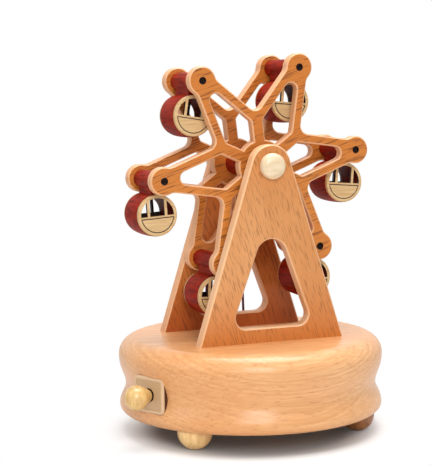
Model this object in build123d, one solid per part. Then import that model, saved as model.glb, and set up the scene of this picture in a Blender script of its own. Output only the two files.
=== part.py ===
from build123d import *
from math import sin, cos, tan, atan2, asin, acos, sqrt, pi, radians, degrees
import os

os.makedirs("parts", exist_ok=True)

# A hand cranked ferris wheel toy: a turned wooden base on four ball feet, two A-shaped boards,
# a wheel of two star-shaped boards and six round cabins hung between them.
# Millimetres. X runs along the A-boards, -Y is the front, +Z is up, the floor is Z = 0. The pieces
# are drawn round the base's own axis; save() then sets the middle of the whole toy, knob and all,
# on the origin.

# ---------------------------------------------------------------- driving dimensions
# base
base_radius = 62.5           # widest, at the upper bulge
base_height = 35.0
upper_bulge_z = 26.65        # height of the upper bulge over the underside
lower_bulge_z = 3.4
lower_bulge_radius = 62.3
waist_z = 12.9
waist_radius = 59.4
underside_radius = 60.1
top_flat_radius = 54.2       # where the rounded shoulder runs into the flat top
cavity_radius = 37.0
cavity_roof = 6.0            # wood left over the cavity
cover_radius = 43.0
cover_thickness = 2.5
cover_gap = 0.3
screw_radius = 1.3
screw_head_radius = 2.4
screw_head_height = 1.4
screw_length = 9.0
slot_width = 0.5             # the screws' driver slots
# feet
foot_radius = 8.0
foot_height = 9.5
foot_flat = 0.15             # how much the ball is flattened where it stands
foot_inset_x = 19.1          # from the underside's rim to the foot's middle, to the side
foot_inset_y = 29.1          # and to the front or back
foot_peg_radius = 2.5
foot_peg_length = 5.0
# A-boards
board_thickness = 6.0
board_gap = 40.4             # clear width between the two boards
board_half_width = 36.1
board_apex_radius = 9.9
arch_bottom = 6.9
arch_top = 47.5
arch_low_half = 20.4         # half width of the arch at its bottom edge, before rounding
arch_lean = 0.371            # sideways run of the arch's side for each unit of height
arch_corner = 5.0
board_edge = 0.7             # bevel round the boards' faces
dowel_radius = 2.5
dowel_length = 10.0
dowel_x = 26.0
# wheel
axle_height = 80.8           # over the base top
pin_circle = 48.7
wheel_phase = 6.94           # angle of the first cabin pin over the +X axis
star_thickness = 5.0
front_star_face = -16.5      # Y of the front star's outer face
rear_star_face = 19.3        # Y of the rear star's outer face
lobe_radius = 6.5
lobe_blend = 5.0             # where a lobe runs into its two bars
star_hub_radius = 11.8
spoke_width = 5.7
bar_lean = 14.7              # angle between a bar and its arm's middle line
bar_outer_offset = 4.54      # from the pin's centre to the bar's outer edge
bar_width = 4.25
kite_tip_radius = 3.1
notch_radius = 4.0
kite_corner_radius = 1.5
star_edge = 0.6
axle_radius = 2.0
hub_barrel_radius = 5.6
cap_radius = 6.0
cap_height = 4.2
cap_rim = 1.0
cap_bite = 2.7               # how far the axle's ends reach into the caps
washer_radius = 4.2
# cabin pins and cabins
pin_radius = 1.0
pin_pocket_radius = 1.65
pin_pocket_depth = 1.8
pin_end_depth = 1.1          # how far the pin's end lies under the star's face
hanger_radius = 4.0
cabin_drop = 15.9            # pin to cabin centre
cabin_radius = 10.0
cabin_end_radius = 9.7
cabin_bore = 8.0
cabin_depth = 19.5           # over both faces
cabin_mid = 2.0              # Y of the middle of the cabins
neck_width = 5.2
face_radius = 9.5
face_thickness = 1.6
face_edge = 0.35
window_radius = 7.95
window_sill = -0.3           # height of the window's lower edge over the cabin's centre
post_offset = 4.15
post_width = 1.2
boat_line_z = -1.1
boat_line_width = 0.45
boat_line_depth = 0.3
boat_radius = 8.05
cabin_tilts = [5.8, 2.2, 4.0, 1.1, 2.0, -1.0]    # how far each hangs off plumb, seen from the front
face_turns = [-1.4, 2.4, 5.0, -4.8, 1.0, 1.0]    # how far each one's faces are glued off level
# drive
crank_z = 14.5               # height of the crank's line over the base's underside
plate_place = 71.0           # where the knob plate sits, turned from the front to the left
plate_facing = 65.0          # the way it faces, turned from the front to the left
plate_distance = 62.4
plate_width = 18.5
plate_height = 16.6
plate_corner = 2.4
plate_depth = 5.0
plate_edge = 0.7             # rounding of the plate's front edge
plate_lip = 1.5
plate_dish = 0.25
plate_hole_depth = 2.5
crank_hole_radius = 3.1
crank_shaft_radius = 1.5
crank_bore_room = 0.6        # round the shaft, through the base's wall
knob_radius = 5.6
knob_reach = 7.7             # ball centre in front of the plate
knob_neck_radius = 2.7       # where it meets the plate
knob_gap = 0.4               # from the plate's face to the knob's neck
gear_module = 0.875
pinion_teeth = 12
drive_teeth = 24
gear_face = 4.6
gear_tip = 0.7               # tooth height over the pitch cone, at the big end
gear_root = 0.92
gear_web = 1.2
gear_hub_length = 3.0
gear_hub_radius = 4.0
tooth_share = 0.40           # tooth width over the pitch, on the pitch cone
drive_shaft_radius = 2.0
shaft_overhang = 1.5         # past the front block and the lower pulley
belt_plane = 30.5
belt_radius = 0.6
lower_belt_radius = 10.9     # from the shaft to the belt's middle
upper_belt_radius = 7.6
pulley_width = 4.0
pulley_flange = 0.5          # flange height over the belt's middle
pulley_hub_radius = 4.0
pulley_hub_length = 3.0
belt_hole_radius = 2.2
block_width = 12.0
block_thickness = 5.0
block_flange = 3.0
block_reach = 10.0           # half width of a bearing block's flange
block_screw_radius = 0.9
block_screw_length = 7.0
block_screw_head = 1.7
block_screw_inset = 2.2      # from the flange's end
# fits
run = 0.05                   # radial room of a shaft in its hole
apart = 0.4                  # room between other moving faces

# ---------------------------------------------------------------- derived places
underside_z = foot_height
foot_x = underside_radius - foot_inset_x
foot_y = underside_radius - foot_inset_y
top_z = underside_z + base_height
axle_z = top_z + axle_height
shaft_z = underside_z + crank_z
roof_z = top_z - cavity_roof
front_star_inner = front_star_face + star_thickness
rear_star_inner = rear_star_face - star_thickness
board_inner = board_gap / 2
board_outer = board_inner + board_thickness
plate_centre = Vector(
    -plate_distance * sin(radians(plate_place)),
    -plate_distance * cos(radians(plate_place)),
    shaft_z,
)
crank_out = Vector(-sin(radians(plate_facing)), -cos(radians(plate_facing)), 0)
crank_length = plate_centre.X / crank_out.X          # plate to the drive shaft's line
gear_apex = plate_centre - crank_out * crank_length
shaft_angle = radians(plate_facing)                  # between the crank's line and the drive shaft's
knob_end_x = plate_centre.X + crank_out.X * knob_reach - knob_radius
middle_x = (base_radius + knob_end_x) / 2            # half way from the knob's end to the base's right side


def slab(face, y0, y1):
    """A flat XZ shape made solid from y0 back to y1."""
    return extrude(Plane.XZ.offset(-y0) * face, amount=-(y1 - y0))


def rod(radius, y0, y1, x=0.0, z=0.0):
    """A round bar along Y."""
    return slab(Pos(x, z) * Circle(radius), y0, y1)


def save(name, *shapes):
    """Write one node; several solids stay separate in it."""
    solids = [Pos(-middle_x, 0, 0) * s for shape in shapes for s in shape.solids()]
    node = solids[0] if len(solids) == 1 else Compound(children=solids)
    node.label = name
    export_step(node, f"parts/{name}.step")


# ---------------------------------------------------------------- base
side = Spline(
    (underside_radius, 0),
    (lower_bulge_radius, lower_bulge_z),
    (waist_radius, waist_z),
    (base_radius, upper_bulge_z),
    tangents=[(0.9, 0.5), (0, 1), (0, 1), (0, 1)],
)
shoulder = Bezier(
    (base_radius, upper_bulge_z),
    (base_radius, (upper_bulge_z + base_height) / 2 + 0.4),
    ((base_radius + top_flat_radius) / 2 + 0.4, base_height),
    (top_flat_radius, base_height),
)
outline = side + shoulder + Polyline(
    (top_flat_radius, base_height), (0, base_height), (0, 0), (underside_radius, 0)
)
base = revolve(Plane.XZ * make_face(outline.edges()), Axis.Z)
base = Pos(0, 0, underside_z) * base
base -= Pos(0, 0, underside_z) * extrude(Circle(cavity_radius), base_height - cavity_roof)
base -= Pos(0, 0, underside_z) * extrude(Circle(cover_radius + cover_gap), cover_thickness)

# the knob plate's frame: its Z points out of the base, its X runs to the right
plate_plane = Plane(
    origin=plate_centre, x_dir=(cos(radians(plate_facing)), -sin(radians(plate_facing)), 0), z_dir=crank_out
)
plate_shape = RectangleRounded(plate_width, plate_height, plate_corner)
pocket_shape = RectangleRounded(plate_width + 0.1, plate_height + 0.1, plate_corner)
base -= extrude(plate_plane.offset(-plate_depth) * pocket_shape, plate_depth + 10)
crank_bore = extrude(
    plate_plane * Circle(crank_shaft_radius + crank_bore_room), -(crank_length - cavity_radius / 3)
)
base -= crank_bore

# two holes let the belt's strands through the roof
belt_rise = axle_z - shaft_z
belt_lean = asin((lower_belt_radius - upper_belt_radius) / belt_rise)


def strand_x(z):
    """Half the width between the belt's strands at a height."""
    return (lower_belt_radius - (z - shaft_z) * sin(belt_lean)) / cos(belt_lean)


for sign in (-1, 1):
    hole = Pos(sign * strand_x(top_z - cavity_roof / 2), belt_plane, roof_z - 1) * Cylinder(
        belt_hole_radius, cavity_roof + 2, align=(Align.CENTER, Align.CENTER, Align.MIN)
    )
    base -= hole

# blind holes for the feet's pegs
foot_places = [(sx * foot_x, sy * foot_y) for sx in (-1, 1) for sy in (-1, 1)]
for x, y in foot_places:
    base -= Pos(x, y, underside_z) * extrude(Circle(foot_peg_radius), foot_peg_length)

# cover under the cavity, held by four screws in the ledge round it
cover = Pos(0, 0, underside_z) * extrude(Circle(cover_radius), cover_thickness)
screw_circle = (cavity_radius + cover_radius) / 2
screw_shank = extrude(Circle(screw_radius), screw_length)
screw_shank += Cone(
    screw_head_radius, screw_radius, screw_head_height, align=(Align.CENTER, Align.CENTER, Align.MIN)
)
screw_slot = Box(screw_head_radius * 2, slot_width, screw_head_height)
cover_screws = []
for k in range(4):
    place = Rot(0, 0, 45 + 90 * k) * Pos(screw_circle, 0, underside_z)
    cover_screws.append(place * (screw_shank - screw_slot))
    cover -= place * screw_shank
    base -= place * screw_shank
save("base_cover", cover)
save("cover_screws", *cover_screws)

# ball feet: flat where they meet the base, a small flat to stand on, pegged into the base
foot = Pos(0, 0, foot_radius - foot_flat) * Sphere(foot_radius)
foot -= Pos(0, 0, foot_height) * Box(30, 30, 20, align=(Align.CENTER, Align.CENTER, Align.MIN))
foot -= Box(30, 30, 20, align=(Align.CENTER, Align.CENTER, Align.MAX))
foot += Pos(0, 0, foot_height - 1) * extrude(Circle(foot_peg_radius), foot_peg_length + 1)
foot_names = ["foot_front_left", "foot_rear_left", "foot_front_right", "foot_rear_right"]
for name, (x, y) in zip(foot_names, foot_places):
    save(name, Pos(x, y) * foot)

# ---------------------------------------------------------------- A-boards
# one outline for both: straight sides that run into the round apex, and an arched opening
slant = sqrt(board_half_width**2 + axle_height**2)
lean = atan2(axle_height, -board_half_width) - asin(board_apex_radius / slant)
side_length = sqrt(slant**2 - board_apex_radius**2)
touch_x = board_half_width + side_length * cos(lean)
touch_z = side_length * sin(lean)
board_shape = Polygon(
    (-board_half_width, 0), (board_half_width, 0), (touch_x, touch_z), (-touch_x, touch_z), align=None
)
board_shape += Pos(0, axle_height) * Circle(board_apex_radius)
# the arch: leaning sides, small corners at the bottom, one round top touching both sides
lean_cos = cos(atan2(arch_lean, 1))
wide_at_floor = arch_low_half + arch_lean * arch_bottom
arch_radius = (wide_at_floor - arch_lean * arch_top) * lean_cos / (1 - arch_lean * lean_cos)
arch_centre = arch_top - arch_radius
arch_touch_x = arch_radius * lean_cos
arch_touch_z = arch_centre + arch_radius * arch_lean * lean_cos
arch_shape = Polygon(
    (-arch_low_half, arch_bottom),
    (arch_low_half, arch_bottom),
    (arch_touch_x, arch_touch_z),
    (-arch_touch_x, arch_touch_z),
    align=None,
)
arch_shape = fillet(arch_shape.vertices().sort_by(Axis.Y)[:2], arch_corner)
arch_shape += Pos(0, arch_centre) * Circle(arch_radius)
board_shape -= arch_shape
board_shape -= Pos(0, axle_height) * Circle(axle_radius + run)


def board(y0):
    """One A-board standing on the base with its front at y0."""
    solid = slab(Pos(0, top_z) * board_shape, y0, y0 + board_thickness)
    rims = solid.faces().sort_by(Axis.Y)
    edges = [e for f in (rims[0], rims[-1]) for e in f.edges()]
    edges = [e for e in edges if e.center().Z > top_z + 0.5 and not small_hole(e)]
    return chamfer(edges, board_edge)


def small_hole(edge):
    return edge.geom_type == GeomType.CIRCLE and edge.radius < axle_radius + 1


# each board stands on two dowels, half in the base and half in the board
dowels = []
for name, y0 in (("front_frame", -board_outer), ("rear_frame", board_inner)):
    frame = board(y0)
    for x in (-dowel_x, dowel_x):
        lower_end = Pos(x, y0 + board_thickness / 2, top_z - dowel_length / 2)
        dowel = lower_end * extrude(Circle(dowel_radius), dowel_length)
        dowels.append(dowel)
        base -= dowel
        frame -= dowel
    save(name, frame)
save("frame_dowels", *dowels)

# ---------------------------------------------------------------- star boards
bar_slope = tan(radians(bar_lean))
bar_secant = 1 / cos(radians(bar_lean))
outer_edge = bar_outer_offset * bar_secant                 # half width of an arm at the pin
inner_edge = (bar_outer_offset - bar_width) * bar_secant   # the opening's half width there
turn = radians(30)
notch = (outer_edge + bar_slope * pin_circle) / (sin(turn) + bar_slope * cos(turn))
half_spoke = spoke_width / 2


def meet_spoke(edge):
    """Where a bar's inner edge meets the side of the spoke next to it, in the arm's own axes."""
    along = (edge + bar_slope * (pin_circle - half_spoke * sin(turn)) + half_spoke * cos(turn)) / (
        sin(turn) + bar_slope * cos(turn)
    )
    return (along * cos(turn) + half_spoke * sin(turn), along * sin(turn) - half_spoke * cos(turn))


corner = meet_spoke(inner_edge)
kite_apex = pin_circle + inner_edge / bar_slope
kite_root = half_spoke / sin(turn)
star_outline = Polygon(
    *[
        (
            r * cos(radians(60 * k) + a),
            r * sin(radians(60 * k) + a),
        )
        for k in range(6)
        for r, a in (
            (notch, -turn),
            (sqrt(pin_circle**2 + outer_edge**2), -atan2(outer_edge, pin_circle)),
            (sqrt(pin_circle**2 + outer_edge**2), atan2(outer_edge, pin_circle)),
        )
    ],
    align=None,
)
star_outline = fillet(
    [v for v in star_outline.vertices() if Vector(v.X, v.Y, 0).length < notch + 1],
    notch_radius,
)
kite = Polygon(
    (kite_root, 0), (corner[0], -corner[1]), (kite_apex, 0), corner, align=None
)
kite = fillet(kite.vertices().sort_by(Axis.X)[-1:], kite_tip_radius)
kite = fillet(
    [v for v in kite.vertices() if abs(v.X - corner[0]) < 0.01 and abs(v.Y) > corner[1] - 0.01],
    kite_corner_radius,
)
kite -= Circle(star_hub_radius)
star_shape = star_outline
lobe_centres = [Vector(pin_circle, 0, 0).rotate(Axis.Z, 60 * k) for k in range(6)]
for centre in lobe_centres:
    star_shape += Pos(centre) * Circle(lobe_radius)
lobe_roots = [
    v for v in star_shape.vertices()
    if v.center().length < pin_circle and any(
        abs((v.center() - centre).length - lobe_radius) < 0.01 for centre in lobe_centres
    )
]
star_shape = fillet(lobe_roots, lobe_blend)
for k in range(6):
    star_shape -= Rot(0, 0, 60 * k) * kite
star_shape -= Circle(axle_radius)


def star(y0, y1, pocket_y0):
    """One star board between y0 and y1; the pins' pockets start at pocket_y0."""
    turned = Pos(0, axle_z) * Rot(0, 0, wheel_phase) * star_shape
    solid = slab(turned, y0, y1)
    rims = solid.faces().sort_by(Axis.Y)
    edges = [e for f in (rims[0], rims[-1]) for e in f.edges() if not small_hole(e)]
    solid = chamfer(edges, star_edge)
    for x, z in pin_places:
        solid -= rod(pin_radius, y0 - 1, y1 + 1, x, z)
        solid -= rod(pin_pocket_radius, pocket_y0, pocket_y0 + pin_pocket_depth, x, z)
    return solid


pin_angles = [radians(wheel_phase + 60 * k) for k in range(6)]
pin_places = [(pin_circle * cos(a), axle_z + pin_circle * sin(a)) for a in pin_angles]
front_star = star(front_star_face, front_star_inner, front_star_face)
rear_star = star(rear_star_inner, rear_star_face, rear_star_face - pin_pocket_depth)
save("front_star", front_star)
save("rear_star", rear_star)
pins = [rod(pin_radius, front_star_face + pin_end_depth, rear_star_face - pin_end_depth, x, z)
        for x, z in pin_places]
save("cabin_pins", *pins)

# axle with its spacers, caps and pulley, all fixed to the wheel
axle_front = -board_outer - apart - cap_bite
axle_back = belt_plane + pulley_width / 2 + cap_bite
axle = rod(axle_radius, axle_front, axle_back, 0, axle_z)
save("axle", axle)
barrel = rod(hub_barrel_radius, front_star_inner, rear_star_inner, 0, axle_z)
barrel -= rod(axle_radius, front_star_inner - 1, rear_star_inner + 1, 0, axle_z)
save("hub_barrel", barrel)
front_washer = rod(washer_radius, -board_inner + apart, front_star_face, 0, axle_z)
front_washer -= axle
save("front_washer", front_washer)
rear_washer = rod(washer_radius, rear_star_face, board_inner - apart, 0, axle_z)
rear_washer -= axle
save("rear_washer", rear_washer)


def cap(y, way):
    """A domed end cap whose flat face is at y; way is the side its dome points to."""
    dome = Pos(0, y, axle_z) * Rot(90 if way < 0 else -90, 0, 0) * dome_shape
    return dome - axle


dome_profile = make_face(
    Polyline((0, 0), (cap_radius, 0), (cap_radius, cap_rim)).edges()
    + Spline(
        (cap_radius, cap_rim), (cap_radius * 0.72, cap_height * 0.86), (0, cap_height),
        tangents=[(0, 1), (-1, 0)],
    ).edges()
    + Line((0, cap_height), (0, 0)).edges()
)
dome_shape = revolve(Plane.XZ * dome_profile, Axis.Z)
save("front_cap", cap(-board_outer - apart, -1))
save("rear_cap", cap(belt_plane + pulley_width / 2, 1))


def pulley(belt_centre, y):
    """A grooved wheel for the belt: belt_centre is from the axis to the belt's middle."""
    flange = belt_centre + pulley_flange
    floor = belt_centre - belt_radius - apart
    half = pulley_width / 2
    groove = belt_radius + apart + 0.15
    profile = Polygon(
        (0, -half), (flange, -half), (flange, -groove), (floor, -groove * 0.55), (floor, groove * 0.55),
        (flange, groove), (flange, half), (0, half), align=None,
    )
    return Pos(0, y, 0) * (Rot(90, 0, 0) * revolve(Plane.XZ * profile, Axis.Z))


upper_pulley = Pos(0, 0, axle_z) * pulley(upper_belt_radius, belt_plane) - axle
save("upper_pulley", upper_pulley)

# ---------------------------------------------------------------- cabins
ring_length = cabin_depth - 2 * face_thickness
ring_profile = make_face(
    ThreePointArc(
        (cabin_end_radius, -ring_length / 2), (cabin_radius, 0), (cabin_end_radius, ring_length / 2)
    ).edges()
    + Polyline(
        (cabin_end_radius, ring_length / 2), (cabin_bore, ring_length / 2),
        (cabin_bore, -ring_length / 2), (cabin_end_radius, -ring_length / 2),
    ).edges()
)
ring = Pos(0, cabin_mid, -cabin_drop) * Rot(90, 0, 0) * revolve(Plane.XZ * ring_profile, Axis.Z)
neck = slab(
    Pos(0, -(cabin_drop - cabin_bore) / 2 - 0.2) * Rectangle(neck_width, cabin_drop - cabin_bore - 1),
    cabin_mid - ring_length / 2, cabin_mid + ring_length / 2,
)
hanger = rod(hanger_radius, front_star_inner + apart, rear_star_inner - apart)
cabin = ring + (neck - rod(cabin_bore + 0.4, -50, 50, 0, -cabin_drop)) + hanger
cabin -= rod(pin_radius + run, -50, 50)

window = Circle(window_radius) & (
    Pos(0, window_sill) * Rectangle(30, 20, align=(Align.CENTER, Align.MIN))
)
for sign in (-1, 1):
    window -= Pos(sign * post_offset, 0) * Rectangle(post_width, 30)
boat = Circle(boat_radius) & (
    Pos(0, boat_line_z) * Rectangle(30, 20, align=(Align.CENTER, Align.MAX))
)
boat_inside = Circle(boat_radius - boat_line_width) & (
    Pos(0, boat_line_z - boat_line_width) * Rectangle(30, 20, align=(Align.CENTER, Align.MAX))
)
boat_line = boat - boat_inside
face_shape = Circle(face_radius) - window
face_blank = slab(face_shape, 0, face_thickness)
rim_edges = [
    e for e in face_blank.faces().sort_by(Axis.Y)[0].edges()
    if e.geom_type == GeomType.CIRCLE and abs(e.radius - face_radius) < 0.01
]
face_blank = chamfer(rim_edges, face_edge)
face_blank -= slab(boat_line, -1, boat_line_depth)
face_front = Pos(0, -cabin_depth / 2, 0) * face_blank
face_rear = mirror(face_front, Plane.XZ)
for k, (x, z) in enumerate(pin_places):
    place = Pos(x, 0, z) * Rot(0, cabin_tilts[k], 0)
    save(f"cabin_{k + 1}_body", place * cabin)
    glued = place * Pos(0, cabin_mid, -cabin_drop) * Rot(0, face_turns[k], 0)
    save(f"cabin_{k + 1}_front_face", glued * face_front)
    save(f"cabin_{k + 1}_rear_face", glued * face_rear)

# ---------------------------------------------------------------- knob and its plate
plate = extrude(plate_plane * plate_shape, -plate_depth)
plate_front = [f for f in plate.faces() if (f.normal_at() - crank_out).length < 0.01]
plate = fillet(plate_front[0].edges(), plate_edge)
dish_shape = RectangleRounded(
    plate_width - 2 * plate_lip, plate_height - 2 * plate_lip, plate_corner - plate_lip
)
plate -= extrude(plate_plane * dish_shape, -plate_dish)
plate -= extrude(plate_plane * Circle(crank_hole_radius), -plate_hole_depth)
plate -= extrude(plate_plane * Circle(crank_shaft_radius + run), -plate_depth)
save("knob_plate", plate)
knob_centre = plate_plane.offset(knob_reach)
knob = knob_centre * Sphere(knob_radius)
# its neck is a cone that leaves the ball without an edge
neck_run = knob_reach - knob_gap
neck_taper = asin(knob_radius / sqrt(neck_run**2 + knob_neck_radius**2)) - atan2(knob_neck_radius, neck_run)
knob += plate_plane.offset(knob_gap) * Cone(
    knob_neck_radius,
    knob_radius * cos(neck_taper),
    neck_run - knob_radius * sin(neck_taper),
    align=(Align.CENTER, Align.CENTER, Align.MIN),
)
pinion_angle = atan2(sin(shaft_angle), drive_teeth / pinion_teeth + cos(shaft_angle))
drive_angle = shaft_angle - pinion_angle
cone_length = gear_module * pinion_teeth / 2 / sin(pinion_angle)
pinion_big_end = cone_length * cos(pinion_angle)
pinion_small_end = (cone_length - gear_face) * cos(pinion_angle)
crank_shaft = extrude(
    Plane(gear_apex + crank_out * (pinion_small_end + 0.2), x_dir=plate_plane.x_dir, z_dir=crank_out)
    * Circle(crank_shaft_radius),
    crank_length - pinion_small_end - 0.2 + knob_reach,
)
knob -= crank_shaft
save("knob", knob)
save("crank_shaft", crank_shaft)


def bevel(teeth, cone_angle, first_turn):
    """A bevel gear on +Z whose teeth all run to the origin; first_turn is where a tooth stands."""
    along = (sin(cone_angle), cos(cone_angle))
    across = (cos(cone_angle), -sin(cone_angle))

    def at(distance, height):
        scaled = height * distance / cone_length
        return (distance * along[0] + scaled * across[0], distance * along[1] + scaled * across[1])

    small = cone_length - gear_face
    root_in = at(small, -gear_root)
    root_out = at(cone_length, -gear_root)
    back = root_out[1] + gear_web
    hub_end = back + gear_hub_length
    profile = Polygon(
        (0, root_in[1]), root_in, root_out, (root_out[0], back), (gear_hub_radius, back),
        (gear_hub_radius, hub_end), (0, hub_end), align=None,
    )
    gear = revolve(Plane.XZ * profile, Axis.Z)
    pitch_width = tooth_share * pi * gear_module
    ends = []
    for distance in (cone_length, small):
        corners = []
        for height, side in ((-gear_root - 0.25, -1), (gear_tip, -1), (gear_tip, 1), (-gear_root - 0.25, 1)):
            half = (pitch_width / 2 - height * tan(radians(20))) * distance / cone_length
            x, z = at(distance, height)
            corners.append((x, side * half, z))
        ends.append(make_face(Polyline(*corners, close=True).edges()))
    tooth = loft([ends[0], ends[1]], ruled=True)
    for k in range(teeth):
        gear += Rot(0, 0, first_turn + 360 / teeth * k) * tooth
    return gear, hub_end


# the pinion and the drive gear share the point where the crank's line crosses the drive shaft's
pinion, pinion_hub_end = bevel(pinion_teeth, pinion_angle, 0)
drive_gear, drive_hub_end = bevel(drive_teeth, drive_angle, 180 / drive_teeth)
crank_frame = Plane(gear_apex, x_dir=plate_plane.x_dir, z_dir=crank_out)
shaft_frame = Plane(gear_apex, x_dir=(-1, 0, 0), z_dir=(0, -1, 0))
pinion = crank_frame * pinion - crank_shaft
save("pinion", pinion)

# three bearing blocks screwed to the cavity's roof
front_block_y = gear_apex.Y - drive_hub_end - apart - block_thickness
rear_block_y = belt_plane - pulley_width / 2 - pulley_hub_length - apart - block_thickness
shaft_front = front_block_y - shaft_overhang
shaft_back = belt_plane + pulley_width / 2 + shaft_overhang
drive_shaft = rod(drive_shaft_radius, shaft_front, shaft_back, 0, shaft_z)
save("drive_shaft", drive_shaft)
save("drive_gear", shaft_frame * drive_gear - drive_shaft)
pulley_hub = rod(
    pulley_hub_radius, belt_plane - pulley_width / 2 - pulley_hub_length, belt_plane, 0, shaft_z
)
lower_pulley = Pos(0, 0, shaft_z) * pulley(lower_belt_radius, belt_plane) + pulley_hub - drive_shaft
save("lower_pulley", lower_pulley)

block_rise = roof_z - shaft_z
block_shape = Circle(block_width / 2) + Pos(0, block_rise / 2) * Rectangle(block_width, block_rise)
block_shape += Pos(0, block_rise - block_flange / 2) * Rectangle(2 * block_reach, block_flange)
block_screw = Pos(0, 0, -block_flange) * extrude(Circle(block_screw_radius), block_screw_length)
block_screw += Pos(0, 0, -block_flange) * Sphere(block_screw_head)
block_screw -= Pos(0, 0, -block_flange) * Box(9, slot_width, block_screw_head * 2)
block_screw_room = Pos(0, 0, -block_flange) * extrude(Circle(block_screw_radius), block_screw_length)


def block(bore):
    """A block standing on XZ with its bore on the Y axis, its front at Y = 0."""
    return slab(block_shape - Circle(bore), 0, block_thickness)


block_screws = []
block_jobs = [
    ("front_bearing", Pos(0, front_block_y, shaft_z), drive_shaft_radius + run),
    ("rear_bearing", Pos(0, rear_block_y, shaft_z), drive_shaft_radius + run),
    (
        "crank_bearing",
        Pos(*(gear_apex + crank_out * (pinion_hub_end + apart + block_thickness)))
        * Rot(0, 0, -plate_facing),
        crank_shaft_radius + run,
    ),
]
for name, place, bore in block_jobs:
    one = place * block(bore)
    for sign in (-1, 1):
        spot = place * Pos(sign * (block_reach - block_screw_inset), block_thickness / 2, block_rise)
        screw = spot * block_screw
        one -= spot * (block_screw_room + Pos(0, 0, -block_flange) * Sphere(block_screw_head))
        base -= spot * block_screw_room
        block_screws.append(screw)
    save(name, one)
save("bearing_screws", *block_screws)
save("base_body", base)

# ---------------------------------------------------------------- belt
bend = (cos(belt_lean), sin(belt_lean))


def belt_point(radius, centre_z, side):
    return (side * radius * bend[0], belt_plane, centre_z + radius * bend[1])


low_right = belt_point(lower_belt_radius, shaft_z, 1)
low_left = belt_point(lower_belt_radius, shaft_z, -1)
high_right = belt_point(upper_belt_radius, axle_z, 1)
high_left = belt_point(upper_belt_radius, axle_z, -1)
belt_path = Wire(
    [
        Line(low_right, high_right).edge(),
        ThreePointArc(high_right, (0, belt_plane, axle_z + upper_belt_radius), high_left).edge(),
        Line(high_left, low_left).edge(),
        ThreePointArc(low_left, (0, belt_plane, shaft_z - lower_belt_radius), low_right).edge(),
    ]
)
belt_start = Plane(low_right, z_dir=Vector(*high_right) - Vector(*low_right))
belt = sweep(belt_start * Circle(belt_radius), path=belt_path)
save("drive_belt", belt)
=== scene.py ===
# %% [markdown]
# A wooden ferris wheel toy, dressed for its photograph.
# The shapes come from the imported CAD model, in metres, and stay where they are.
# This lesson sets up the camera, the floor and the lamps, and then gives every node its wood,
# stain, metal, plastic or cord.

import math

import bpy
from mathutils import Matrix, Vector


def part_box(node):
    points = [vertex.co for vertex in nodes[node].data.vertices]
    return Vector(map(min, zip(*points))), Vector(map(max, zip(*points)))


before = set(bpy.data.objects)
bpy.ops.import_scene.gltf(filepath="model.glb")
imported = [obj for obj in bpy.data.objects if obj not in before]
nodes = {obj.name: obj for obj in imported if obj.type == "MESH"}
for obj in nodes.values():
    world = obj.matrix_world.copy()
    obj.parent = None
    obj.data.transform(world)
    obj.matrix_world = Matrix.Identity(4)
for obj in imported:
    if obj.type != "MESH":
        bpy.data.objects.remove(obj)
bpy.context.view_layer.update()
axle_low, axle_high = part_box("axle")
axle_x = (axle_low.x + axle_high.x) / 2
axle_z = (axle_low.z + axle_high.z) / 2

# %% [markdown]
# First the camera. The photograph was taken from the front left, a little above the axle.
# It could be placed by eye, but then no hole or corner would fall where the photograph has it.
# Instead its place, its angles and its lens were fitted to the pin holes, the corners of the
# boards and the outline of the base. Its place is measured from the axle's line and the floor.
# The picture is taller than wide, so the sensor's 36 mm belong to its height.

# %% Camera
view_turn, view_tip, view_roll = -0.3926, 0.0985, -0.0119
eye = (axle_x - 0.26891, -0.60868, 0.15868)
lens_pixels = 1412.4
photo_height = 465
sensor = 36
nearest_seen = 0.01

back = Vector((
    math.sin(view_turn) * math.cos(view_tip),
    -math.cos(view_turn) * math.cos(view_tip),
    math.sin(view_tip),
))
side = (-back).cross(Vector((0, 0, 1))).normalized()
rise = side.cross(-back)
camera_x = math.cos(view_roll) * side + math.sin(view_roll) * rise
camera_y = -math.sin(view_roll) * side + math.cos(view_roll) * rise
facing_toy = Matrix((camera_x, camera_y, back)).transposed().to_4x4()

lens = bpy.data.cameras.new("photo_camera")
lens.sensor_width = sensor
lens.lens = lens_pixels * sensor / photo_height
lens.clip_start = nearest_seen
camera = bpy.data.objects.new("photo_camera", lens)
camera.matrix_world = Matrix.Translation(eye) @ facing_toy
bpy.context.scene.collection.objects.link(camera)
bpy.context.scene.camera = camera
print("lens", round(lens.lens, 2), "mm")

# %% [markdown]
# Every finish below is a tree of shader nodes. They could be wired up one by one, with three or
# four lines to each. One helper does it in one: it adds a node, sets its options, and fills each
# input with a number, a colour or the output of another node.


# %% One helper for all nodes
def add(tree, kind, inputs, **options):
    node = tree.nodes.new("ShaderNode" + kind)
    for option, value in options.items():
        setattr(node, option, value)
    for name, value in inputs.items():
        if isinstance(value, bpy.types.NodeSocket):
            tree.links.new(value, node.inputs[name])
        else:
            node.inputs[name].default_value = value
    return node


white = (1, 1, 1, 1)
print("node helper ready, white is", white)

# %% [markdown]
# The backdrop is pure white. Stronger lamps could burn it out, but they would burn out the pale
# wood as well. So the world is white where the camera or a reflection looks at it, and a dim warm
# grey where it lights the toy.

# %% World
dim_warm, dim_strength = (1, 0.985, 0.965, 1), 0.24

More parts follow.
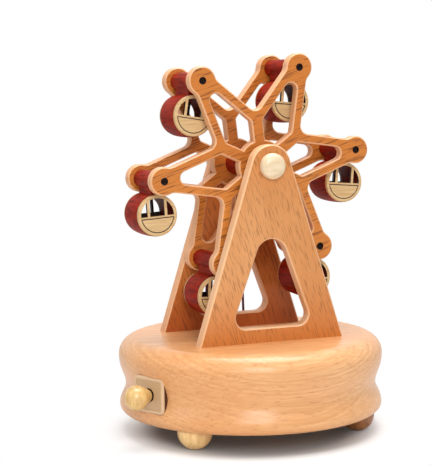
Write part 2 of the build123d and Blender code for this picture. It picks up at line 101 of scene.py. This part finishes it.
bpy.context.scene.view_settings.view_transform = "Standard"
world = bpy.data.worlds.new("studio")
bpy.context.scene.world = world
world.use_nodes = True
sky = world.node_tree
sky.nodes.clear()
sky_rays = add(sky, "LightPath", {})
looked_at = add(
    sky, "Math", {0: sky_rays.outputs["Is Camera Ray"], 1: sky_rays.outputs["Is Glossy Ray"]},
    operation="MAXIMUM",
)
dim_sky = add(sky, "Background", {"Color": dim_warm, "Strength": dim_strength})
white_sky = add(sky, "Background", {"Color": white})
sky_shown = add(
    sky, "MixShader", {0: looked_at.outputs[0], 1: dim_sky.outputs[0], 2: white_sky.outputs[0]}
)
add(sky, "OutputWorld", {0: sky_shown.outputs[0]})
print("world lights the toy at", dim_strength)

# %% [markdown]
# The toy stands on a white table, of which only the soft shadow is to be seen. A plain white floor
# would turn grey away from the toy. This one takes light and shadow near the base and fades into
# even white further out, by the distance from the middle of the shadow. Right under the base it
# is painted darker, because the shadow in the photograph is nearly black there. Only the camera
# sees all this: any other ray meets plain pale floor, which lights the toy from below.

# %% Floor
floor_side = 6
shadow_x, shadow_y = axle_x - 0.003, -0.01
dark_until, dark_end = 0.04, 0.062
fade_from, fade_end = 0.042, 0.083
under_base, around_base = (0.3, 0.33, 0.37, 1), (0.96, 0.94, 0.93, 1)
plain_pale = (0.8, 0.79, 0.78, 1)
lift_strength = 0.02

bpy.ops.mesh.primitive_plane_add(size=floor_side, location=(0, 0, 0))
floor = bpy.context.object
floor.name = "floor"
floor_paint = bpy.data.materials.new("floor_paint")
floor_paint.use_nodes = True
floor.data.materials.append(floor_paint)
table = floor_paint.node_tree
table.nodes.clear()

place = add(table, "TexCoord", {})
from_shadow = add(
    table, "Mapping", {"Vector": place.outputs["Object"], "Location": (-shadow_x, -shadow_y, 0)}
)
distance = add(table, "VectorMath", {0: from_shadow.outputs[0]}, operation="LENGTH")


def smooth_step(start, end):
    """Rises from 0 to 1 between two distances from the middle of the shadow."""
    return add(
        table, "MapRange", {"Value": distance.outputs["Value"], "From Min": start, "From Max": end},
        interpolation_type="SMOOTHSTEP",
    ).outputs[0]


tone = add(
    table, "Mix", {0: smooth_step(dark_until, dark_end), 6: under_base, 7: around_base},
    data_type="RGBA",
)
lit = add(table, "BsdfDiffuse", {"Color": tone.outputs[2]})
lift = add(table, "Emission", {"Color": white, "Strength": lift_strength})
near = add(table, "AddShader", {0: lit.outputs[0], 1: lift.outputs[0]})
far = add(table, "Emission", {"Color": white})
seen = add(
    table, "MixShader",
    {0: smooth_step(fade_from, fade_end), 1: near.outputs[0], 2: far.outputs[0]},
)
unseen = add(table, "BsdfDiffuse", {"Color": plain_pale})
table_rays = add(table, "LightPath", {})
shown = add(
    table, "MixShader",
    {0: table_rays.outputs["Is Camera Ray"], 1: unseen.outputs[0], 2: seen.outputs[0]},
)
add(table, "OutputMaterial", {0: shown.outputs[0]})
print("floor fades to white between", fade_from, "and", fade_end)

# %% [markdown]
# The photograph has soft light from three sides, as from large boxes with cloth in front. A sun
# would draw hard shadows, so each box is a square area lamp: a key from the upper front left, a
# broad fill from the far left that brightens the sawn edges, and a strong one from above that lays
# the shadow under the base. Each is turned so that it faces the point that it aims at.


# %% Lights
def softbox(name, place, aim, size, power, tint=(1, 1, 1)):
    data = bpy.data.lights.new(name, "AREA")
    data.shape = "SQUARE"
    data.size = size
    data.energy = power
    data.color = tint
    lamp = bpy.data.objects.new(name, data)
    lamp.location = place
    lamp.rotation_euler = (Vector(aim) - Vector(place)).to_track_quat("-Z", "Y").to_euler()
    bpy.context.scene.collection.objects.link(lamp)
    print(name, power, "W")


softbox("key", (-0.26, -0.9, 0.55), (0, 0, 0.08), size=0.42, power=5.2, tint=(1, 0.99, 0.97))
softbox("left_fill", (-0.85, -0.1, 0.55), (0, 0, 0.1), size=0.5, power=1.4)
softbox("top", (0.08, 0.02, 0.95), (0, 0, 0.1), size=0.6, power=9.0)

# %% [markdown]
# Colours are easiest to judge as the 0 to 255 that a picture shows, but a shader works with linear
# light. The curve between the two is short, so it is written out here.


# %% Colours
def rgb(*channels):
    """An sRGB colour of 0 to 255, as the linear colour that a shader wants."""
    linear = [((c / 255 + 0.055) / 1.055) ** 2.4 if c > 10 else c / 255 / 12.92 for c in channels]
    return (*linear, 1)


print("middle grey is", rgb(128, 128, 128))

# %% [markdown]
# All the materials are patterns worked out in space, on Object coordinates. A photographed texture
# would need a flat map of every piece. A pattern in space runs through a solid as real grain does,
# so a board's face and its edge agree without one.
# A Paint is one material with short calls for the few nodes that the patterns need. Each call
# returns the output of its node.


# %% Paint
class Paint:
    def __init__(self, name, roughness, specular=0.5, coat=0.0, coat_roughness=0.2):
        self.material = bpy.data.materials.new(name)
        self.material.use_nodes = True
        self.tree = self.material.node_tree
        self.shader = self.tree.nodes["Principled BSDF"]
        self.shader.inputs["Roughness"].default_value = roughness
        self.shader.inputs["Specular IOR Level"].default_value = specular
        self.shader.inputs["Coat Weight"].default_value = coat
        self.shader.inputs["Coat Roughness"].default_value = coat_roughness
        self.place = add(self.tree, "TexCoord", {})

    def mapped(self, turn=(0, 0, 0), scale=(1, 1, 1), shift=(0, 0, 0)):
        """Object coordinates, turned and shifted first and then scaled."""
        placed = add(
            self.tree, "Mapping",
            {"Vector": self.place.outputs["Object"], "Rotation": turn, "Location": shift},
        )
        return add(self.tree, "Mapping", {"Vector": placed.outputs[0], "Scale": scale}).outputs[0]

    def noise(self, vector, scale, detail=2.0, rough=0.5, warp=0.0):
        settings = {"Scale": scale, "Detail": detail, "Roughness": rough, "Distortion": warp}
        return add(self.tree, "TexNoise", {"Vector": vector, **settings}).outputs["Fac"]

    def ramp(self, value, stops):
        """Reads a value off a row of stops, each a place from 0 to 1 with its colour or grey."""
        node = add(self.tree, "ValToRGB", {"Fac": value})
        elements = node.color_ramp.elements
        while len(elements) < len(stops):
            elements.new(0.5)
        for element, (at, colour) in zip(elements, stops):
            element.position = at
            element.color = colour if isinstance(colour, tuple) else (colour, colour, colour, 1)
        return node.outputs["Color"]

    def math(self, kind, *values):
        return add(self.tree, "Math", dict(enumerate(values)), operation=kind).outputs[0]

    def mix(self, factor, a, b):
        """Colour a where the factor is 0, and colour b where it is 1."""
        return add(self.tree, "Mix", {0: factor, 6: a, 7: b}, data_type="RGBA").outputs[2]

    def split(self, vector):
        node = add(self.tree, "SeparateXYZ", {0: vector})
        return node.outputs["X"], node.outputs["Y"], node.outputs["Z"]

    def length(self, vector):
        return add(self.tree, "VectorMath", {0: vector}, operation="LENGTH").outputs["Value"]

    def reach(self, x, y):
        """How far a point of the plane is from its origin."""
        return self.length(add(self.tree, "CombineXYZ", {"X": x, "Y": y}).outputs[0])

    def bump(self, height, strength, distance):
        relief = {"Height": height, "Strength": strength, "Distance": distance}
        node = add(self.tree, "Bump", relief)
        self.tree.links.new(node.outputs[0], self.shader.inputs["Normal"])

    def colour(self, value):
        self.base_colour = value
        self.tree.links.new(value, self.shader.inputs["Base Color"])


print("paint calls ready")

# %% [markdown]
# The pieces are CAD nodes that already have material slots. A slot could be removed and made anew,
# but the mesh refers to it by number, so each one keeps its place and only takes another material.


# %% Dress the nodes
def dress(paint, *names):
    for name in names:
        mesh = nodes[name].data
        if not mesh.materials:
            mesh.materials.append(paint.material)
        for k in range(len(mesh.materials)):
            mesh.materials[k] = paint.material
    print(paint.material.name, "on", len(names), "nodes")


print(len(nodes), "nodes to dress")

# %% [markdown]
# Plain-sawn beech has broad drifts of colour, fine fibres, and short dark flecks, which are its
# pores. All three run along the grain. A picture of veneer could show them, but it would repeat
# from board to board, and noise never does. A Mapping node turns each noise to the grain and
# shrinks the coordinates along it, so that the spots of the noise come out long.
# The flecks come last, so that they show through the painted shade as well.


# %% Grain
pores_start, pores_full = 0.54, 0.65


def grain(paint, turn, pale, deep, pore, stain, stained, flecks, fleck_scale, fleck_squeeze):
    """The colour and the height of wood whose fibres run along the pattern's own X axis."""
    drifts = paint.noise(paint.mapped(turn, (0.3, 1, 1)), scale=22, detail=3, rough=0.55, warp=0.5)
    colour = paint.ramp(drifts, [(0.32, deep), (0.68, pale)])
    fibres = paint.noise(paint.mapped(turn, (0.05, 1, 1)), scale=1500, detail=3, rough=0.6)
    colour = paint.mix(paint.ramp(fibres, [(0.38, 0.3), (0.6, 0.0)]), colour, deep)
    # Painted shade: darker towards the foot and the head, by the height mask.
    colour = paint.mix(stained, colour, stain)
    squeezed = paint.mapped(turn, (fleck_squeeze, 1, 1))
    specks = paint.noise(squeezed, fleck_scale, detail=1.5, rough=0.5, warp=0.15)
    pores = paint.ramp(specks, [(pores_start, 0.0), (pores_full, 1.0)])
    colour = paint.mix(paint.math("MULTIPLY", pores, flecks), colour, pore)
    raised = paint.math("MULTIPLY", fibres, 0.5)
    sunk = paint.math("MULTIPLY", pores, 0.5)
    return colour, paint.math("SUBTRACT", raised, sunk)


print("pores are where the noise is over", pores_start)

# %% [markdown]
# The boards' faces took the oil and turned orange. Their edges were rounded and sanded last and
# stay paler, and they are painted paler still as a painted highlight; the bevel between the two
# gets a thin painted highlight line. Edges could be picked face by face, but the mesh is left
# alone, so the mask reads which way the surface looks: a board's faces look along Y, its edges
# across it, and its bevels half way between.
# The boards are also painted darker at the foot and at the head, as painted shade. The shade
# follows the height, whose metres serve as places on the ramp just as they are.

# %% Boards
edge_until, face_from = 0.5, 0.97
edge_and_highlight_strength = 0.75
# Painted highlight: a thin bright line along the bevels.
bevel_highlight_stops = [(0.5, 0.0), (0.66, 0.32), (0.78, 0.32), (0.9, 0.0)]
# Painted shade: how strongly the boards are darkened at each height, at the foot and the head.
stain_heights = [(0.047, 0.85), (0.072, 0.0), (0.1, 0.0), (0.14, 0.72)]
bevel_highlight_colour = rgb(255, 218, 176)


def beech_board(name, turn, edge_and_highlight, **wood):
    """An oiled board: its grain is turned about Y, and its wood says the rest of its colours."""
    paint = Paint(name, roughness=0.42, specular=0.4, coat=0.1, coat_roughness=0.3)
    height = paint.split(paint.place.outputs["Object"])[2]
    # Painted shade by height, darkest at the foot.
    stained = paint.ramp(height, stain_heights)
    colour, relief = grain(paint, (0, math.radians(turn), 0), stained=stained, **wood)
    facing = paint.math("ABSOLUTE", paint.split(paint.place.outputs["Normal"])[1])
    # Paler edges: sanded wood, with a painted highlight on top of it.
    pale_edges_and_highlight = paint.ramp(facing, [(edge_until, 1.0), (face_from, 0.0)])
    bevel_highlight = paint.ramp(facing, bevel_highlight_stops)
    colour = paint.mix(paint.math("MULTIPLY", pale_edges_and_highlight, edge_and_highlight_strength), colour, edge_and_highlight)
    paint.colour(paint.mix(bevel_highlight, colour, bevel_highlight_colour))
    paint.bump(relief, strength=0.2, distance=0.0001)
    return paint


board_grain = -73
# In each board below, the colour given after the pores is the painted shade at its foot and head.
near_board = beech_board(
    "beech_board", board_grain, edge_and_highlight=rgb(242, 194, 146),
    pale=rgb(232, 172, 116), deep=rgb(208, 140, 80), pore=rgb(126, 68, 26), stain=rgb(203, 122, 52),
    flecks=0.45, fleck_scale=1750, fleck_squeeze=0.09,
)
# The far board is painted a deeper, redder orange than the near one: painted shade, as it stands in the
# shade of the wheel and the near board.
far_board_painted_shade = beech_board(
    "beech_board_rear", board_grain, edge_and_highlight=rgb(238, 182, 132),
    pale=rgb(222, 142, 74), deep=rgb(200, 112, 48), pore=rgb(104, 50, 18), stain=rgb(172, 82, 30),
    flecks=0.5, fleck_scale=1750, fleck_squeeze=0.09,
)
dress(near_board, "front_frame")
dress(far_board_painted_shade, "rear_frame")

# %% [markdown]
# The star boards are a shade warmer, with stronger flecks, and their grain rises to the right
# across the whole star.
# Each arm ends in a deep pocket with the end of a steel pin inside, and the pocket is painted
# nearly black as painted shade. Six spots could be painted one by one. All six share one rule
# instead: fold the angle round the axle into one sixth of a turn, and measure from the one pin
# that is left.

# %% Star boards
pin_circle = 0.0487
first_pin = math.radians(6.94)
half_sixth = math.radians(30)
pocket_inside, pocket_rim = 0.00168, 0.00182
pocket_scale = 250

# The stars' painted shade at the foot and head is their own deep colour.
stars = beech_board(
    "beech_star", 17, edge_and_highlight=rgb(238, 182, 134),
    pale=rgb(223, 146, 66), deep=rgb(197, 113, 40), pore=rgb(90, 40, 12), stain=rgb(197, 113, 40),
    flecks=0.66, fleck_scale=1850, fleck_squeeze=0.055,
)
x, _, z = stars.split(stars.mapped(shift=(-axle_x, 0, -axle_z)))
from_first = stars.math("SUBTRACT", stars.math("ARCTAN2", z, x), first_pin)
folded = stars.math("WRAP", from_first, half_sixth, -half_sixth)
from_axle = stars.reach(x, z)
along = stars.math("MULTIPLY", from_axle, stars.math("COSINE", folded))
across = stars.math("MULTIPLY", from_axle, stars.math("SINE", folded))
from_pin = stars.reach(stars.math("SUBTRACT", along, pin_circle), across)
# Painted shade: the pin pockets are painted nearly black.
painted_pocket_shade = stars.ramp(
    stars.math("MULTIPLY", from_pin, pocket_scale),
    [(pocket_inside * pocket_scale, 1.0), (pocket_rim * pocket_scale, 0.0)],
)
stars.colour(stars.mix(painted_pocket_shade, stars.base_colour, rgb(38, 20, 14)))
dress(stars, "front_star", "rear_star")

# %% [markdown]
# The base is one block of beech turned on a lathe. The growth rings are long tubes round a pith
# that ran along X under the block, so the turned side cuts them into bands that lie level at the
# front and climb at both ends. A Wave texture could draw them, but its bands are all alike and
# look like a contour map. No two years grew alike, so here the bands come from a noise in one
# dimension, read at the distance from the pith. The distance is a little warped as well.

# %% Turned base
pith_turn, pith_place = math.radians(3), (0, -0.05, 0.2)
ring_warp, years_per_metre = 0.007, 1000

base = Paint("beech_base", roughness=0.42, specular=0.3, coat=0.45, coat_roughness=0.24)
warp = base.noise(base.mapped(scale=(0.3, 1, 1)), scale=26, detail=3, rough=0.5)
from_pith = base.length(base.mapped((0, pith_turn, 0), (0.05, 1, 1), pith_place))
warped = base.math("MULTIPLY_ADD", warp, ring_warp, from_pith)
years = add(
    base.tree, "TexNoise",
    {"W": warped, "Scale": years_per_metre, "Detail": 3, "Roughness": 0.6},
    noise_dimensions="1D",
)
drifts = base.noise(base.mapped(scale=(0.4, 1, 1)), scale=20, detail=2, rough=0.5)
turned = base.ramp(drifts, [(0.35, rgb(230, 168, 110)), (0.65, rgb(240, 188, 134))])
bands = base.ramp(years.outputs["Fac"], [(0.36, 0.0), (0.64, 0.36)])
turned = base.mix(bands, turned, rgb(206, 134, 74))
fibres = base.noise(base.mapped(scale=(0.04, 0.4, 1)), scale=900, detail=2, rough=0.6)
turned = base.mix(base.ramp(fibres, [(0.4, 0.22), (0.6, 0.0)]), turned, rgb(200, 128, 70))
specks = base.noise(base.mapped(scale=(0.12, 0.5, 1)), scale=1500, detail=1.5, rough=0.5)
dashes = base.ramp(specks, [(0.6, 0.0), (0.7, 0.4)])
base.colour(base.mix(dashes, turned, rgb(184, 112, 58)))
base.bump(dashes, strength=0.12, distance=0.0001)
dress(base, "base_body", "base_cover")

# %% [markdown]
# The cabins' barrels with their tubes, and the barrel on the axle, are stained dark red. Paint
# would be one even colour, but a stain is thin: the fibres show through it, and it wears paler in
# patches. Its shine is very low, because the white room would lay a grey veil over the insides
# that show through the windows.

# %% Red stain
cabins = range(1, 7)

red = Paint("red_wood", roughness=0.5, specular=0.06)
streaks = red.noise(red.mapped(scale=(1, 0.12, 1)), scale=900, detail=3, rough=0.6)
patches = red.noise(red.mapped(), scale=90, detail=2, rough=0.5)
stain = red.ramp(streaks, [(0.35, rgb(104, 14, 4)), (0.65, rgb(160, 34, 10))])
worn = red.ramp(patches, [(0.4, 0.0), (0.7, 0.35)])
red.colour(red.mix(worn, stain, rgb(172, 60, 30)))
red.bump(streaks, strength=0.15, distance=0.0001)
dress(red, "hub_barrel", *[f"cabin_{cabin}_body" for cabin in cabins])

# %% [markdown]
# Each cabin's two faces are thin maple, cut by laser. The laser leaves dark walls in the windows
# and a burnt groove round the little boat. The cuts could be painted by hand on a map. Here they
# are told from the clean front by how deep they lie under it, and from the outer rim by their
# distance from the face's own middle, so every cabin gets its own material.

# %% Maple faces
cut_starts = 0.00012
rim_inside = 0.0086
scorched, charred = rgb(150, 98, 52), rgb(58, 34, 22)
scorch_strength = 0.35


def maple_face(cabin):
    front, rear = f"cabin_{cabin}_front_face", f"cabin_{cabin}_rear_face"
    low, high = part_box(front)
    rear_low, rear_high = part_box(rear)
    middle = Vector(((low.x + high.x) / 2, (low.y + rear_high.y) / 2, (low.z + high.z) / 2))
    half_depth = (rear_high.y - low.y) / 2
    paint = Paint(f"maple_face_{cabin}", roughness=0.5, specular=0.4, coat=0.1, coat_roughness=0.3)
    x, y, z = paint.split(paint.mapped(shift=tuple(-middle)))
    fibres = paint.noise(paint.mapped(scale=(0.1, 1, 1)), scale=900, detail=3, rough=0.6)
    colour = paint.ramp(fibres, [(0.3, rgb(202, 164, 112)), (0.7, rgb(226, 196, 146))])
    sunk = paint.math("LESS_THAN", paint.math("ABSOLUTE", y), half_depth - cut_starts)
    inside = paint.math("LESS_THAN", paint.reach(x, z), rim_inside)
    colour = paint.mix(paint.math("MULTIPLY", sunk, scorch_strength), colour, scorched)
    paint.colour(paint.mix(paint.math("MULTIPLY", sunk, inside), colour, charred))
    dress(paint, front, rear)


for cabin in cabins:
    maple_face(cabin)

# %% [markdown]
# The feet, the knob and the dowels are a pale yellow wood, and the axle's caps are bleached nearly
# white. The foot at the right gets the same wood painted much browner, as painted shade under the
# base. The bearing blocks inside are a plainer wood. Each could have a recipe of its own, but such
# small pieces show little figure, so one recipe of growth lines and clouds serves them all in two
# colours.


# %% Pale wood
def turned_wood(name, pale, deep, roughness, stretch):
    paint = Paint(name, roughness, specular=0.5, coat=0.3, coat_roughness=0.25)
    growth = paint.noise(paint.mapped(scale=stretch), scale=420, detail=3, rough=0.55, warp=0.3)
    colour = paint.ramp(growth, [(0.3, deep), (0.65, pale)])
    clouds = paint.noise(paint.mapped(), scale=130, detail=2, rough=0.5)
    paint.colour(paint.mix(paint.ramp(clouds, [(0.45, 0.0), (0.75, 0.4)]), colour, deep))
    paint.bump(growth, strength=0.1, distance=0.0001)
    return paint


upright, crosswise, sawn = (1, 1, 0.35), (0.4, 1, 1), (0.2, 1, 1)
dress(
    turned_wood("pale_wood", rgb(232, 196, 130), rgb(204, 158, 90), roughness=0.36, stretch=upright),
    "knob", "frame_dowels",
)
dress(
    turned_wood("foot_wood", rgb(250, 214, 152), rgb(224, 178, 112), roughness=0.36, stretch=upright),
    "foot_front_left", "foot_rear_left", "foot_rear_right",
)
# Painted shade: the front right foot is the same pale wood, painted dark brown.
dress(
    turned_wood("foot_wood_in_painted_shade", rgb(176, 116, 66), rgb(134, 82, 42), roughness=0.36, stretch=upright),
    "foot_front_right",
)
dress(
    turned_wood("bleached_wood", rgb(238, 218, 186), rgb(220, 194, 154), roughness=0.4, stretch=crosswise),
    "front_cap", "rear_cap", "front_washer", "rear_washer",
)
dress(
    turned_wood("block_wood", rgb(218, 178, 124), rgb(184, 138, 88), roughness=0.55, stretch=sawn),
    "front_bearing", "rear_bearing", "crank_bearing",
)

# %% [markdown]
# The rest is metal, plastic and cord. One flat colour would do from afar, but close up it looks
# unreal. So all of them have a fine speckle that also gives a little relief: drawn out from front
# to back on the steel, as the axle and the pins lie, even on the nylon, and upright on the cord.
# The pins' ends sit deep in their pockets, and their steel is painted a near-black brown, as painted
# shade, with hardly any shine.


# %% Metal, plastic and cord
def speckled(name, light, dark, roughness, scale, stretch, metal=0.0, relief=0.1, shine=0.5):
    paint = Paint(name, roughness, shine)
    paint.shader.inputs["Metallic"].default_value = metal
    speckle = paint.noise(paint.mapped(scale=stretch), scale, detail=2, rough=0.6)
    paint.colour(paint.ramp(speckle, [(0.3, dark), (0.7, light)]))
    paint.bump(speckle, relief, distance=0.00005)
    return paint


lengthwise = (1, 0.1, 1)
dress(
    speckled(
        "steel", rgb(150, 150, 152), rgb(112, 112, 116),
        roughness=0.34, scale=2500, stretch=lengthwise, metal=1.0,
    ),
    "axle", "crank_shaft", "drive_shaft", "cover_screws", "bearing_screws",
)
# Painted shade: the pins' steel is given a near-black brown.
dress(
    speckled(
        "steel_in_painted_shade", rgb(44, 22, 16), rgb(14, 8, 6),
        roughness=0.6, scale=2500, stretch=lengthwise, shine=0.1,
    ),
    "cabin_pins",
)
dress(
    speckled(
        "nylon", rgb(228, 222, 208), rgb(214, 208, 194),
        roughness=0.4, scale=1200, stretch=(1, 1, 1),
    ),
    "pinion", "drive_gear", "lower_pulley", "upper_pulley",
)
dress(
    speckled(
        "belt", rgb(104, 26, 44), rgb(66, 12, 28),
        roughness=0.5, scale=1800, stretch=upright, relief=0.3,
    ),
    "drive_belt",
)

# %% [markdown]
# The knob's plate is moulded beige plastic. The lip round its dish is painted paler, as a painted
# highlight, and its side walls are painted dark, as painted shadow, where they sink into the gap
# before the round side of the base. Separate pieces could carry the three colours, but it is one
# moulding, so they are told by how far a point lies behind the plate's front. That front is turned
# 65 degrees to the left of the toy's own, and its place comes from the plate's own corners.

# %% Knob plate
plate_turn = math.radians(65)
dish_depth, dish_slack = 0.00025, 0.00005
gap_starts, gap_full = 0.00064, 0.00088
gap_scale = 500
lip_highlight_strength = 0.6

plate = Paint("plate", roughness=0.42)
outward = Vector((-math.sin(plate_turn), -math.cos(plate_turn), 0))
plate_front = max(corner.co.dot(outward) for corner in nodes["knob_plate"].data.vertices)
forward = add(
    plate.tree, "VectorMath", {0: plate.place.outputs["Object"], 1: outward},
    operation="DOT_PRODUCT",
)
depth = plate.math("SUBTRACT", plate_front, forward.outputs["Value"])
speckle = plate.noise(plate.mapped(), scale=3000, detail=2, rough=0.6)
beige = plate.ramp(speckle, [(0.3, rgb(192, 160, 120)), (0.7, rgb(206, 174, 136))])
off_dish = plate.math("ABSOLUTE", plate.math("SUBTRACT", depth, dish_depth))
# Painted highlight on the lip round the dish.
lip_highlight = plate.math("MULTIPLY", plate.math("GREATER_THAN", off_dish, dish_slack), lip_highlight_strength)
with_lip_highlight = plate.mix(lip_highlight, beige, rgb(236, 200, 162))
# Painted shadow on the side walls where they sink into the gap.
gap_shadow = plate.ramp(
    plate.math("MULTIPLY", depth, gap_scale),
    [(gap_starts * gap_scale, 0.0), (gap_full * gap_scale, 1.0)],
)
plate.colour(plate.mix(gap_shadow, with_lip_highlight, rgb(74, 34, 18)))
plate.bump(speckle, strength=0.06, distance=0.00005)
dress(plate, "knob_plate")
